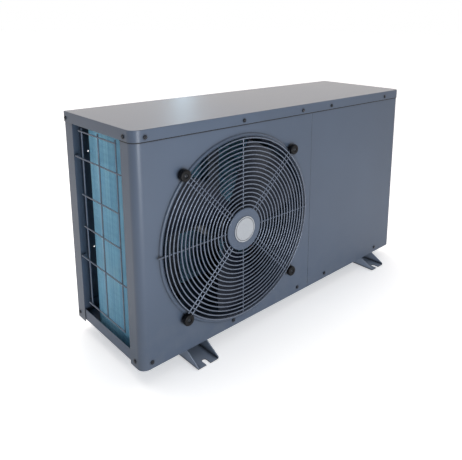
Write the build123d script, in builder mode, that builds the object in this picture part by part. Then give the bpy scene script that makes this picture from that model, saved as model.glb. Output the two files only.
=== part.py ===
"""Pool heat pump in a sheet-metal case: axial fan, L-shaped air coil, compressor and water exchanger.

Frame: origin on the ground under the middle of the case, +Z up, the fan faces -Y, +X to the
service end. Millimetres.
"""
from build123d import *
import os
from math import cos, radians, sin

os.makedirs("parts", exist_ok=True)

# -------------------- driving dimensions
COVER_W = 936.0            # top cover, width over the lip
COVER_D = 300.0            # top cover, depth over the lip
TOTAL_H = 550.0            # ground to the top of the cover
SKIRT_Z = 34.0             # lower edge of the case panels
LIP_H = 24.0               # turned-down lip of the cover
SHEET = 1.2                # case sheet thickness
FIT = 0.3                  # gap between sheet parts that face each other
FRONT_R = 20.0             # rounded front corners of the case
REAR_R = 3.0               # nearly square rear corners
SEAM_X = 53.0              # joint between the fan panel and the service panel
WRAP_Y = -102.0            # where the front panels end on the sides of the case

FAN_X, FAN_Z = -191.0, 279.0   # fan axis
OPENING_R = 216.0          # air opening in the fan panel
BEAD_R = 226.5             # outer edge of the pressed bead round the opening
BEAD_H = 4.0               # height of that bead
FAN_R = 208.0              # blade tip radius
HUB_R = 46.0

PAN_Z = 39.0               # underside of the base pan
PAN_LIP_TOP = 67.0         # top of the pan's flange at the sides and the rear
PAN_FRONT_TOP = 59.0       # lower flange at the front, under the air duct
FOOT_W = 59.0              # width of a foot rail
FOOT_LENGTH = 368.0
FOOT_SHEET = 2.5
FOOT_X = {"left": -320.5, "right": 349.0}
SLOT_W, SLOT_LENGTH = 12.0, 22.0

COIL_X, COIL_Y = -450.0, 125.0     # outer faces of the coil's two legs
COIL_DEPTH = 36.0
COIL_BEND_R = 75.0
COIL_Z0, COIL_Z1 = 45.0, 544.0
COIL_FRONT_Y = -122.0
COIL_END_X = 50.0

WALL_X = 58.0              # partition between the fan side and the machine side
WATER_X, WATER_Y = 385.0, 20.0     # axis of the water exchanger
WATER_Z = {"inlet": 128.0, "outlet": 328.0}
PIPE_R = 25.1              # socket for 50 mm pressure pipe
TAIL_Y = 184.0             # end of a pipe socket, level with the tips of the feet

PANEL_X, PANEL_Y = COVER_W / 2 - SHEET - FIT, COVER_D / 2 - SHEET - FIT   # outer faces of the panels
INNER_X, INNER_Y = PANEL_X - SHEET, PANEL_Y - SHEET
PANEL_TOP = TOTAL_H - SHEET - FIT
PAN_TOP = PAN_Z + SHEET

# -------------------- shared shapes
LOW = (Align.CENTER, Align.CENTER, Align.MIN)
HIGH = (Align.CENTER, Align.CENTER, Align.MAX)
FAN_AXIS = Axis((FAN_X, 0, FAN_Z), (0, 1, 0))
FAN_SECTION = Plane(origin=(FAN_X, 0, FAN_Z), x_dir=(1, 0, 0), z_dir=(0, 0, 1))


def outline(inset):
    """Case outline seen from above, drawn in from the outside of the top cover."""
    with BuildSketch(mode=Mode.PRIVATE) as plan:
        Rectangle(COVER_W - 2 * inset, COVER_D - 2 * inset)
        fillet(plan.vertices().group_by(Axis.Y)[0], FRONT_R - inset)
        fillet(plan.vertices().group_by(Axis.Y)[-1], max(REAR_R - inset, 0.3))
    return plan.sketch


def case_strip(x0, x1, y0, y1):
    """The part of the case wall, seen from above, that lies inside one rectangle."""
    with BuildSketch(mode=Mode.PRIVATE) as strip:
        add(outline(SHEET + FIT))
        add(outline(2 * SHEET + FIT), mode=Mode.SUBTRACT)
        with Locations(((x0 + x1) / 2, (y0 + y1) / 2)):
            Rectangle(x1 - x0, y1 - y0, mode=Mode.INTERSECT)
    return strip.sketch


def front(x, z, y=-PANEL_Y):
    return Plane(origin=(x, y, z), x_dir=(1, 0, 0), z_dir=(0, -1, 0))


def rear(x, z, y=PANEL_Y):
    return Plane(origin=(x, y, z), x_dir=(-1, 0, 0), z_dir=(0, 1, 0))


def side(sign, y, z, x=PANEL_X):
    return Plane(origin=(sign * x, y, z), x_dir=(0, sign, 0), z_dir=(sign, 0, 0))


def tube_along(points, bend_r, outer_r, inner_r):
    """Round tube along straight runs joined by bends."""
    with BuildPart(mode=Mode.PRIVATE) as tube:
        with BuildLine() as route:
            if len(points) > 2:
                FilletPolyline(*points, radius=bend_r)
            else:
                Line(*points)
        with BuildSketch(Plane(origin=route.line @ 0, z_dir=route.line % 0)):
            Circle(outer_r)
            Circle(inner_r, mode=Mode.SUBTRACT)
        sweep()
    return tube.part


# -------------------- screw positions
COVER_SCREW_Z, PAN_SCREW_Z = 535.0, 49.0
cover_screw_planes = [front(x, COVER_SCREW_Z, -COVER_D / 2) for x in (-439, -184, 16, 130, 386)]
cover_screw_planes += [rear(x, COVER_SCREW_Z, COVER_D / 2) for x in (-445, -184, 130, 445)]
cover_screw_planes += [side(s, y, COVER_SCREW_Z, COVER_W / 2) for s in (-1, 1) for y in (-118, 140)]
pan_screw_planes = [front(x, PAN_SCREW_Z) for x in (-442, -217, 11, 126, 377)]
pan_screw_planes += [rear(x, PAN_SCREW_Z) for x in (-445, 130, 300, 445)]
pan_screw_planes += [side(s, y, PAN_SCREW_Z) for s in (-1, 1) for y in (-121, 138)]
SCREW_R, SCREW_HEAD_R, SCREW_HEAD_H, SCREW_LENGTH = 2.0, 4.3, 2.2, 9.0


def screw_holes(planes):
    with Locations(*planes):
        Cylinder(SCREW_R + 0.2, 14, mode=Mode.SUBTRACT)


def pan_head_screw(head_r, head_h, shank_r, length):
    """Screw with a cross recess, its head standing on the XY plane."""
    with BuildPart(mode=Mode.PRIVATE) as screw:
        Cylinder(head_r, head_h, align=LOW)
        fillet(screw.faces().sort_by(Axis.Z)[-1].edges(), head_h * 0.45)
        Cylinder(shank_r, length, align=HIGH)
        with Locations((0, 0, head_h * 0.45)):
            Box(head_r * 1.1, head_r * 0.22, head_h, align=LOW, mode=Mode.SUBTRACT)
            Box(head_r * 0.22, head_r * 1.1, head_h, align=LOW, mode=Mode.SUBTRACT)
    return screw.part


# -------------------- top cover
with BuildPart() as top_cover:
    with BuildSketch(Plane.XY.offset(TOTAL_H - LIP_H)):
        add(outline(0))
    extrude(amount=LIP_H)
    fillet(top_cover.faces().sort_by(Axis.Z)[-1].edges(), 1.5)
    with BuildSketch(Plane.XY.offset(TOTAL_H - LIP_H)):
        add(outline(SHEET))
    extrude(amount=LIP_H - SHEET, mode=Mode.SUBTRACT)
    screw_holes(cover_screw_planes)
top_cover.part.label = "top_cover"
export_step(top_cover.part, "parts/top_cover.step")

# -------------------- base pan with drain, on two foot rails
DRAIN_X, DRAIN_Y = -60.0, 60.0
FOOT_BOLT_Y = (-95.0, 70.0)
FOOT_LIP = 14.0            # outward lips of a rail, screwed to the pan


def foot_bolt_spots(lift):
    reach = FOOT_W / 2 + FOOT_LIP / 2
    return [(x + s * reach, y, lift) for x in FOOT_X.values() for s in (-1, 1) for y in FOOT_BOLT_Y]


with BuildPart() as base_pan:
    with BuildSketch(Plane.XY.offset(PAN_Z)):
        add(outline(2 * SHEET + 2 * FIT))
    extrude(amount=PAN_LIP_TOP - PAN_Z)
    fillet(base_pan.faces().sort_by(Axis.Z)[0].edges(), 1.4)
    with BuildSketch(Plane.XY.offset(PAN_TOP)):
        add(outline(3 * SHEET + 2 * FIT))
    extrude(amount=PAN_LIP_TOP - PAN_TOP, mode=Mode.SUBTRACT)
    with Locations((0, -INNER_Y, PAN_FRONT_TOP)):
        Box(2 * INNER_X - 2 * FRONT_R, 20, 20, align=LOW, mode=Mode.SUBTRACT)
    with Locations((DRAIN_X, DRAIN_Y, PAN_Z)):
        Cylinder(9.2, 4, mode=Mode.SUBTRACT)
    with Locations(*foot_bolt_spots(PAN_Z)):
        Cylinder(4.3, 6, mode=Mode.SUBTRACT)
    screw_holes(pan_screw_planes)
base_pan.part.label = "base_pan"
export_step(base_pan.part, "parts/base_pan.step")

with BuildPart() as drain_nipple:
    with Locations((DRAIN_X, DRAIN_Y, 14)):
        Cylinder(8, PAN_TOP + 3 - 14, align=LOW)
    with Locations((DRAIN_X, DRAIN_Y, PAN_Z)):
        Cylinder(13, 3, align=HIGH)
    with Locations((DRAIN_X, DRAIN_Y, PAN_TOP)):
        Cylinder(12, 3, align=LOW)
    for ridge in range(3):
        with Locations((DRAIN_X, DRAIN_Y, 16 + 5 * ridge)):
            Cone(9, 8, 3.5, align=LOW)
    with Locations((DRAIN_X, DRAIN_Y, 14)):
        Cylinder(5.5, 40, align=LOW, mode=Mode.SUBTRACT)
drain_nipple.part.label = "drain_nipple"
export_step(drain_nipple.part, "parts/drain_nipple.step")

FLANGE_REACH = 120.0       # flanges reach full height this far from the middle
TIP_FLANGE_Z = 5.0
for hand, foot_x in FOOT_X.items():
    half = FOOT_LENGTH / 2
    with BuildPart() as foot_rail:
        with BuildSketch(Plane.YZ.offset(foot_x - FOOT_W / 2)):
            with BuildLine():
                Polyline((-half, 0), (half, 0), (half, TIP_FLANGE_Z), (FLANGE_REACH, PAN_Z),
                         (-FLANGE_REACH, PAN_Z), (-half, TIP_FLANGE_Z), close=True)
            make_face()
        extrude(amount=FOOT_W)
        fillet(foot_rail.edges().filter_by(Axis.Y).group_by(Axis.Z)[0], 3)
        with BuildSketch(Plane.XY.offset(FOOT_SHEET)):
            with Locations((foot_x, 0)):
                Rectangle(FOOT_W - 2 * FOOT_SHEET, FOOT_LENGTH + 10)
        extrude(amount=PAN_Z, mode=Mode.SUBTRACT)
        for s in (-1, 1):
            with Locations((foot_x + s * (FOOT_W + FOOT_LIP) / 2, 0, PAN_Z)):
                Box(FOOT_LIP, 2 * FLANGE_REACH, FOOT_SHEET, align=HIGH)
        with BuildSketch():
            for s in (-1, 1):
                with Locations((foot_x, s * half)):
                    SlotOverall(2 * SLOT_LENGTH, SLOT_W, rotation=90)
        extrude(amount=FOOT_SHEET + 1, mode=Mode.SUBTRACT)
        with Locations(*foot_bolt_spots(PAN_Z)):
            Cylinder(4.3, 6, mode=Mode.SUBTRACT)
        tips = foot_rail.edges().filter_by(Axis.Z).filter_by(lambda e: abs(abs(e.center().Y) - half) < 0.1)
        fillet(tips.filter_by(lambda e: abs(abs(e.center().X - foot_x) - FOOT_W / 2) < 0.1), 2)
    foot_rail.part.label = f"foot_rail_{hand}"
    export_step(foot_rail.part, f"parts/foot_rail_{hand}.step")

with BuildPart() as foot_bolts:
    with Locations(*foot_bolt_spots(PAN_Z - FOOT_SHEET)):
        Cylinder(6.5, 5, align=HIGH)
    with Locations(*foot_bolt_spots(PAN_Z - FOOT_SHEET)):
        Cylinder(4, 8, align=LOW)
foot_bolts.part.label = "foot_bolts"
export_step(foot_bolts.part, "parts/foot_bolts.step")

# -------------------- fan panel: front left, wrapped round the left corner
RETURN = 14.0              # inward return flange at the free edge of a panel
RETURN_Z = PAN_LIP_TOP + 1
CAP_R, CAP_H = 13.0, 8.2
CAP_CIRCLE_R = 232.0
STEM_R = 3.4
cap_spots = [(FAN_X + CAP_CIRCLE_R * cos(radians(a)), FAN_Z + CAP_CIRCLE_R * sin(radians(a)))
             for a in (45, 135, 225, 315)]

with BuildPart() as fan_panel:
    with BuildSketch(Plane.XY.offset(SKIRT_Z)):
        add(case_strip(-PANEL_X - 1, SEAM_X - 0.4, -PANEL_Y - 1, WRAP_Y))
    extrude(amount=PANEL_TOP - SKIRT_Z)
    with BuildSketch(Plane.XY.offset(RETURN_Z)):
        with Locations((-INNER_X + RETURN / 2, WRAP_Y - SHEET / 2)):
            Rectangle(RETURN, SHEET)
        with Locations((SEAM_X - 0.4 - SHEET / 2, -INNER_Y + RETURN / 2)):
            Rectangle(SHEET, RETURN)
    extrude(amount=PANEL_TOP - RETURN_Z)
    with BuildSketch(front(FAN_X, FAN_Z)):
        Circle(BEAD_R - 1)
    extrude(amount=-5, mode=Mode.SUBTRACT)
    with BuildSketch(FAN_SECTION):
        with BuildLine():
            crest = (OPENING_R + BEAD_R) / 2
            ThreePointArc((BEAD_R, -PANEL_Y), (crest, -PANEL_Y - BEAD_H), (OPENING_R, -INNER_Y))
            Line((OPENING_R, -INNER_Y), (OPENING_R + SHEET, -INNER_Y))
            ThreePointArc((OPENING_R + SHEET, -INNER_Y), (crest, -PANEL_Y - BEAD_H + SHEET),
                          (BEAD_R - 2, -INNER_Y))
            Polyline((BEAD_R - 2, -INNER_Y), (BEAD_R, -INNER_Y), (BEAD_R, -PANEL_Y))
        make_face()
    revolve(axis=FAN_AXIS)
    with Locations(*[front(x, z) for x, z in cap_spots]):
        Cylinder(2.3, 14, mode=Mode.SUBTRACT)
    screw_holes(cover_screw_planes)
    screw_holes(pan_screw_planes)
fan_panel.part.label = "fan_panel"
export_step(fan_panel.part, "parts/fan_panel.step")

# Spun duct ring behind the opening, its flange notched over the pan
DUCT_FRONT, DUCT_END = -INNER_Y + 0.2, -96.0
DUCT_FLANGE = 8.0
with BuildPart() as fan_duct:
    with BuildSketch(FAN_SECTION):
        with BuildLine():
            Polyline((OPENING_R + DUCT_FLANGE, DUCT_FRONT), (OPENING_R + DUCT_FLANGE, DUCT_FRONT + SHEET),
                     (OPENING_R + SHEET, DUCT_FRONT + SHEET), (OPENING_R + SHEET, DUCT_END),
                     (OPENING_R, DUCT_END), (OPENING_R, DUCT_FRONT), close=True)
        make_face()
    revolve(axis=FAN_AXIS)
    with Locations((FAN_X, DUCT_FRONT, PAN_FRONT_TOP + 1)):
        Box(300, 20, 40, align=HIGH, mode=Mode.SUBTRACT)
fan_duct.part.label = "fan_duct"
export_step(fan_duct.part, "parts/fan_duct.step")

# -------------------- fan guard: wire rings welded in front of spokes
WIRE_R = 1.5
RING_0, RING_PITCH, RING_COUNT = 57.7, 9.9, 17
RING_Y = -PANEL_Y - 9.0
SPOKE_Y = RING_Y + 2 * WIRE_R + 0.02
SPOKE_GAP = 11.0           # centre distance of the two legs of a hairpin spoke
SPOKE_START = 30.0
SPOKE_END = {0: 8.0, 90: 2.0, 180: 16.0, 270: 2.0}   # how far each single spoke passes the last ring
LAST_RING = RING_0 + RING_PITCH * (RING_COUNT - 1)

with BuildPart() as guard_rings:
    for ring in range(RING_COUNT):
        with BuildSketch(FAN_SECTION):
            with Locations((RING_0 + ring * RING_PITCH, RING_Y)):
                Circle(WIRE_R)
        revolve(axis=FAN_AXIS)
guard_rings.part.label = "guard_rings"
export_step(guard_rings.part, "parts/guard_rings.step")


def spoke_plane(angle):
    """Plane of the spokes, its x direction pointing out from the fan axis at this angle."""
    return Plane(origin=(FAN_X, SPOKE_Y, FAN_Z), x_dir=(cos(radians(angle)), 0, sin(radians(angle))),
                 z_dir=(0, -1, 0))


with BuildPart() as guard_spokes:
    for angle in (0, 90, 180, 270):
        with BuildLine(spoke_plane(angle)) as single:
            Line((SPOKE_START, 0), (LAST_RING + SPOKE_END[angle], 0))
        with BuildSketch(Plane(origin=single.line @ 0, z_dir=single.line % 0)):
            Circle(WIRE_R)
        sweep(path=single.line)
    for angle in (45, 135, 225, 315):
        gap = SPOKE_GAP / 2
        with BuildLine(spoke_plane(angle)) as hairpin:
            Line((SPOKE_START, -gap), (CAP_CIRCLE_R, -gap))
            ThreePointArc((CAP_CIRCLE_R, -gap), (CAP_CIRCLE_R + gap, 0), (CAP_CIRCLE_R, gap))
            Line((CAP_CIRCLE_R, gap), (SPOKE_START, gap))
        with BuildSketch(Plane(origin=hairpin.line @ 0, z_dir=hairpin.line % 0)):
            Circle(WIRE_R)
        sweep(path=hairpin.line)
guard_spokes.part.label = "guard_spokes"
export_step(guard_spokes.part, "parts/guard_spokes.step")

HUB_DISC_R, HUB_DISC_Y = 51.0, RING_Y - 2.6
with BuildPart() as guard_hub_disc:
    with BuildSketch(FAN_SECTION):
        with BuildLine():
            Polyline((0, HUB_DISC_Y + SHEET), (0, HUB_DISC_Y), (HUB_DISC_R - 3, HUB_DISC_Y))
            TangentArc((HUB_DISC_R - 3, HUB_DISC_Y), (HUB_DISC_R, HUB_DISC_Y + 3), tangent=(1, 0))
            Polyline((HUB_DISC_R, HUB_DISC_Y + 3), (HUB_DISC_R - SHEET, HUB_DISC_Y + 3),
                     (HUB_DISC_R - 3, HUB_DISC_Y + SHEET), (0, HUB_DISC_Y + SHEET))
        make_face()
    revolve(axis=FAN_AXIS)
guard_hub_disc.part.label = "guard_hub_disc"
export_step(guard_hub_disc.part, "parts/guard_hub_disc.step")

BADGE_R = 31.0
with BuildPart() as hub_badge:
    with BuildSketch(front(FAN_X, FAN_Z, HUB_DISC_Y)):
        Circle(BADGE_R)
    extrude(amount=1.4)
    fillet(hub_badge.edges().filter_by(GeomType.CIRCLE).sort_by(Axis.Y)[0], 0.6)
    with BuildSketch(front(FAN_X, FAN_Z, HUB_DISC_Y - 1.4)):
        Circle(BADGE_R - 3)
        Circle(BADGE_R - 4, mode=Mode.SUBTRACT)
    extrude(amount=-0.5, mode=Mode.SUBTRACT)
hub_badge.part.label = "hub_badge"
export_step(hub_badge.part, "parts/hub_badge.step")

CAP_Y = SPOKE_Y - WIRE_R - 0.3
with BuildPart() as guard_caps:
    for x, z in cap_spots:
        with BuildPart(front(x, z, CAP_Y), mode=Mode.PRIVATE) as cap:
            Cylinder(CAP_R, CAP_H, align=LOW)
            fillet(cap.edges().sort_by(Axis.Y)[0], 3)
            Cylinder(STEM_R, -PANEL_Y - CAP_Y, align=HIGH)
            with Locations((0, 0, CAP_H - 3)):
                Cylinder(5.2, 10, align=LOW, mode=Mode.SUBTRACT)
            Cylinder(2.3, 60, mode=Mode.SUBTRACT)
        add(cap.part)
guard_caps.part.label = "guard_caps"
export_step(guard_caps.part, "parts/guard_caps.step")

with BuildPart() as case_screws:
    with Locations(*cover_screw_planes, *pan_screw_planes):
        add(pan_head_screw(SCREW_HEAD_R, SCREW_HEAD_H, SCREW_R, SCREW_LENGTH))
    with Locations(*[front(x, z, CAP_Y - CAP_H + 3) for x, z in cap_spots]):
        add(pan_head_screw(SCREW_HEAD_R, SCREW_HEAD_H, SCREW_R, 19))
case_screws.part.label = "case_screws"
export_step(case_screws.part, "parts/case_screws.step")

# -------------------- service side: front panel, end panel, rear post
REAR_PANEL_X = 72.0        # left edge of the rear part of the end panel
END_SPLIT_Y = WRAP_Y + 0.6
CONTROL_Y, CONTROL_Z = -5.0, 450.0
CONTROL_W, CONTROL_H = 150.0, 100.0
GLAND_SPOTS = [(440.0, 230.0), (440.0, 190.0)]
GLAND_HOLE_R = 8.0
CONNECTION_HOLE_R = 33.0

with BuildPart() as service_panel:
    with BuildSketch(Plane.XY.offset(SKIRT_Z)):
        add(case_strip(SEAM_X + 0.4, PANEL_X + 1, -PANEL_Y - 1, WRAP_Y))
    extrude(amount=PANEL_TOP - SKIRT_Z)
    with BuildSketch(Plane.XY.offset(RETURN_Z)):
        with Locations((SEAM_X + 0.4 + SHEET / 2, -INNER_Y + RETURN / 2)):
            Rectangle(SHEET, RETURN)
        with Locations((INNER_X - RETURN / 2, WRAP_Y - SHEET / 2)):
            Rectangle(RETURN, SHEET)
    extrude(amount=PANEL_TOP - RETURN_Z)
    screw_holes(cover_screw_planes)
    screw_holes(pan_screw_planes)
service_panel.part.label = "service_panel"
export_step(service_panel.part, "parts/service_panel.step")

with BuildPart() as end_panel:
    with BuildSketch(Plane.XY.offset(SKIRT_Z)):
        add(case_strip(REAR_PANEL_X, PANEL_X + 1, END_SPLIT_Y, PANEL_Y + 1))
    extrude(amount=PANEL_TOP - SKIRT_Z)
    with BuildSketch(Plane.XY.offset(RETURN_Z)):
        with Locations((INNER_X - RETURN / 2, END_SPLIT_Y + SHEET / 2)):
            Rectangle(RETURN, SHEET)
        with Locations((REAR_PANEL_X + SHEET / 2, INNER_Y - RETURN / 2)):
            Rectangle(SHEET, RETURN)
    extrude(amount=PANEL_TOP - RETURN_Z)
    with BuildSketch(side(1, CONTROL_Y, CONTROL_Z)):
        Rectangle(CONTROL_W + 0.6, CONTROL_H + 0.6)
    extrude(amount=-5, mode=Mode.SUBTRACT)
    with Locations(*[rear(WATER_X, z) for z in WATER_Z.values()]):
        Cylinder(CONNECTION_HOLE_R, 10, mode=Mode.SUBTRACT)
    with Locations(*[rear(x, z) for x, z in GLAND_SPOTS]):
        Cylinder(GLAND_HOLE_R + 0.2, 10, mode=Mode.SUBTRACT)
    for row in range(7):
        with Locations(*[rear(x, 478 - 9 * row) for x in (150, 215)]):
            Box(46, 3.2, 10, mode=Mode.SUBTRACT)
    screw_holes(cover_screw_planes)
    screw_holes(pan_screw_planes)
end_panel.part.label = "end_panel"
export_step(end_panel.part, "parts/end_panel.step")

POST_SIDE_Y = 112.0        # front edge of the post on the side of the case
POST_REAR_X = -400.0
POST_HOLE_Z = (203.0, 447.0)    # small tie holes in the post's rear flange
with BuildPart() as rear_post:
    with BuildSketch(Plane.XY.offset(SKIRT_Z)):
        add(case_strip(-PANEL_X - 1, POST_REAR_X, POST_SIDE_Y, PANEL_Y + 1))
    extrude(amount=PANEL_TOP - SKIRT_Z)
    with BuildSketch(Plane.XY.offset(RETURN_Z)):
        with Locations((-INNER_X + RETURN / 2, POST_SIDE_Y + SHEET / 2)):
            Rectangle(RETURN, SHEET)
        with Locations((POST_REAR_X - SHEET / 2, INNER_Y - RETURN / 2)):
            Rectangle(SHEET, RETURN)
    extrude(amount=PANEL_TOP - RETURN_Z)
    with Locations(*[rear(POST_REAR_X - 16, z) for z in POST_HOLE_Z]):
        Cylinder(1.8, 10, mode=Mode.SUBTRACT)
    screw_holes(cover_screw_planes)
    screw_holes(pan_screw_planes)
rear_post.part.label = "rear_post"
export_step(rear_post.part, "parts/rear_post.step")

# -------------------- wire guards over the coil, hooked over the panel edges
GUARD_WIRE_R = 1.6
SIDE_BAR_X = -PANEL_X - 0.2 + GUARD_WIRE_R
SIDE_WIRE_Y = (-75.0, 0.0, 75.0)
BAR_Z = (98.0, 209.0, 290.0, 367.0, 452.0, 514.0)
LONG_BAR_Z = (209.0, 452.0)
HOOK = 10.0                # how far the hooked ends turn into the case


def hooked_bar(start, end, turn_in):
    """Wire from start to end whose ends both turn in by the vector turn_in."""
    with BuildPart(mode=Mode.PRIVATE) as bar:
        with BuildLine() as route:
            FilletPolyline(start + turn_in, start, end, end + turn_in, radius=3)
        with BuildSketch(Plane(origin=route.line @ 0, z_dir=route.line % 0)):
            Circle(GUARD_WIRE_R)
        sweep()
    return bar.part


with BuildPart() as side_guard:
    for y in SIDE_WIRE_Y:
        with Locations((SIDE_BAR_X + 2 * GUARD_WIRE_R + 0.02, y, BAR_Z[0] - 6)):
            Cylinder(GUARD_WIRE_R, BAR_Z[-1] - BAR_Z[0] + 12, align=LOW)
    for z in BAR_Z:
        if z in LONG_BAR_Z:
            add(hooked_bar(Vector(SIDE_BAR_X, WRAP_Y + 4, z), Vector(SIDE_BAR_X, POST_SIDE_Y - 4, z),
                           Vector(HOOK, 0, 0)))
        else:
            with Locations(Location((SIDE_BAR_X, SIDE_WIRE_Y[0] - 8, z), (-90, 0, 0))):
                Cylinder(GUARD_WIRE_R, SIDE_WIRE_Y[-1] - SIDE_WIRE_Y[0] + 16, align=LOW)
side_guard.part.label = "side_guard"
export_step(side_guard.part, "parts/side_guard.step")

REAR_BAR_Y = PANEL_Y + 0.2 - GUARD_WIRE_R
REAR_WIRE_COUNT = 9
REAR_WIRE_PITCH = (REAR_PANEL_X - POST_REAR_X - 52) / (REAR_WIRE_COUNT - 1)
REAR_WIRE_X = [POST_REAR_X + 26 + REAR_WIRE_PITCH * i for i in range(REAR_WIRE_COUNT)]
with BuildPart() as rear_guard:
    for x in REAR_WIRE_X:
        with Locations((x, REAR_BAR_Y - 2 * GUARD_WIRE_R - 0.02, BAR_Z[0] - 6)):
            Cylinder(GUARD_WIRE_R, BAR_Z[-1] - BAR_Z[0] + 12, align=LOW)
    for z in BAR_Z:
        if z in LONG_BAR_Z:
            add(hooked_bar(Vector(POST_REAR_X + 4, REAR_BAR_Y, z), Vector(REAR_PANEL_X - 4, REAR_BAR_Y, z),
                           Vector(0, -HOOK, 0)))
        else:
            with Locations(Location((REAR_WIRE_X[0] - 8, REAR_BAR_Y, z), (0, 90, 0))):
                Cylinder(GUARD_WIRE_R, REAR_WIRE_X[-1] - REAR_WIRE_X[0] + 16, align=LOW)
rear_guard.part.label = "rear_guard"
export_step(rear_guard.part, "parts/rear_guard.step")

# -------------------- fan: blades and hub, nut, shaft, motor
BLADE_COUNT = 3
FAN_MID_Y = -102.0
SHAFT_R = 6.0
MOTOR_FRONT, MOTOR_REAR = -46.0, 34.0


def blade_section(plane, chord, camber):
    """Thin cambered strip, chord long, lying along the plane's x direction."""
    with BuildSketch(plane, mode=Mode.PRIVATE) as section:
        with BuildLine():
            ThreePointArc((-chord / 2, -1), (0, camber - 1.4), (chord / 2, -1))
            Line((chord / 2, -1), (chord / 2, 1))
            ThreePointArc((chord / 2, 1), (0, camber + 1.4), (-chord / 2, 1))
            Line((-chord / 2, 1), (-chord / 2, -1))
        make_face()
    return section.sketch


def blade_plane(turn, radius, pitch):
    out = (cos(radians(turn)), 0, sin(radians(turn)))
    across = (-sin(radians(turn)), 0, cos(radians(turn)))
    tilt = (across[0] * cos(radians(pitch)), sin(radians(pitch)), across[2] * cos(radians(pitch)))
    return Plane(origin=(FAN_X + radius * out[0], FAN_MID_Y, FAN_Z + radius * out[2]), x_dir=tilt, z_dir=out)


with BuildPart() as fan_blade:
    for blade in range(BLADE_COUNT):
        turn = 360 / BLADE_COUNT * blade + 24
        loft(sections=[blade_section(blade_plane(turn, HUB_R - 6, 40), 76, 4),
                       blade_section(blade_plane(turn + 5, HUB_R + 50, 31), 128, 9),
                       blade_section(blade_plane(turn + 11, HUB_R + 110, 24), 172, 12),
                       blade_section(blade_plane(turn + 17, FAN_R + 16, 20), 196, 12)])
    with BuildSketch(front(FAN_X, FAN_Z, FAN_MID_Y + 40)):
        Circle(FAN_R)
    extrude(amount=80, mode=Mode.INTERSECT)
    with BuildSketch(FAN_SECTION):
        with BuildLine():
            Polyline((0, FAN_MID_Y + 30), (0, FAN_MID_Y - 26), (HUB_R - 8, FAN_MID_Y - 26))
            TangentArc((HUB_R - 8, FAN_MID_Y - 26), (HUB_R, FAN_MID_Y - 18), tangent=(1, 0))
            Polyline((HUB_R, FAN_MID_Y - 18), (HUB_R, FAN_MID_Y + 30), (0, FAN_MID_Y + 30))
        make_face()
    revolve(axis=FAN_AXIS)
    with BuildSketch(FAN_SECTION):
        with BuildLine():
            Polyline((11, FAN_MID_Y + 30), (11, FAN_MID_Y - 22), (HUB_R - 4, FAN_MID_Y - 22),
                     (HUB_R - 4, FAN_MID_Y + 30), close=True)
        make_face()
    revolve(axis=FAN_AXIS, mode=Mode.SUBTRACT)
    with Locations(front(FAN_X, FAN_Z, FAN_MID_Y)):
        Cylinder(SHAFT_R, 120, mode=Mode.SUBTRACT)
fan_blade.part.label = "fan_blade"
export_step(fan_blade.part, "parts/fan_blade.step")

NUT_Y = FAN_MID_Y - 26
with BuildPart() as fan_nut:
    with BuildSketch(front(FAN_X, FAN_Z, NUT_Y)):
        Circle(15)
    extrude(amount=2)
    with BuildSketch(front(FAN_X, FAN_Z, NUT_Y - 2)):
        RegularPolygon(10.5, 6)
    extrude(amount=8)
    with Locations(front(FAN_X, FAN_Z, NUT_Y)):
        Cylinder(SHAFT_R, 60, mode=Mode.SUBTRACT)
fan_nut.part.label = "fan_nut"
export_step(fan_nut.part, "parts/fan_nut.step")

SHAFT_REAR = MOTOR_REAR - 6
with BuildPart() as fan_shaft:
    with BuildSketch(front(FAN_X, FAN_Z, SHAFT_REAR)):
        Circle(SHAFT_R)
    extrude(amount=SHAFT_REAR - NUT_Y + 12)
    chamfer(fan_shaft.edges().filter_by(GeomType.CIRCLE).sort_by(Axis.Y)[0], 1)
fan_shaft.part.label = "fan_shaft"
export_step(fan_shaft.part, "parts/fan_shaft.step")

ROTOR_R, STATOR_R, MOTOR_R = 24.0, 44.0, 52.0
BEARING_R, BEARING_W = 14.0, 9.0
with BuildPart() as motor_rotor:
    with BuildSketch(front(FAN_X, FAN_Z, MOTOR_REAR - 22)):
        Circle(ROTOR_R)
        Circle(SHAFT_R, mode=Mode.SUBTRACT)
    extrude(amount=36)
motor_rotor.part.label = "motor_rotor"
export_step(motor_rotor.part, "parts/motor_rotor.step")

with BuildPart() as motor_stator:
    with BuildSketch(front(FAN_X, FAN_Z, MOTOR_REAR - 22)):
        Circle(STATOR_R)
        Circle(ROTOR_R + 0.5, mode=Mode.SUBTRACT)
    extrude(amount=36)
motor_stator.part.label = "motor_stator"
export_step(motor_stator.part, "parts/motor_stator.step")

bearing_y = (MOTOR_FRONT + 4 + BEARING_W, SHAFT_REAR)
with BuildPart() as motor_bearings:
    for y in bearing_y:
        with BuildSketch(front(FAN_X, FAN_Z, y)):
            Circle(BEARING_R)
            Circle(SHAFT_R + 0.05, mode=Mode.SUBTRACT)
        extrude(amount=BEARING_W)
motor_bearings.part.label = "motor_bearings"
export_step(motor_bearings.part, "parts/motor_bearings.step")

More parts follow.
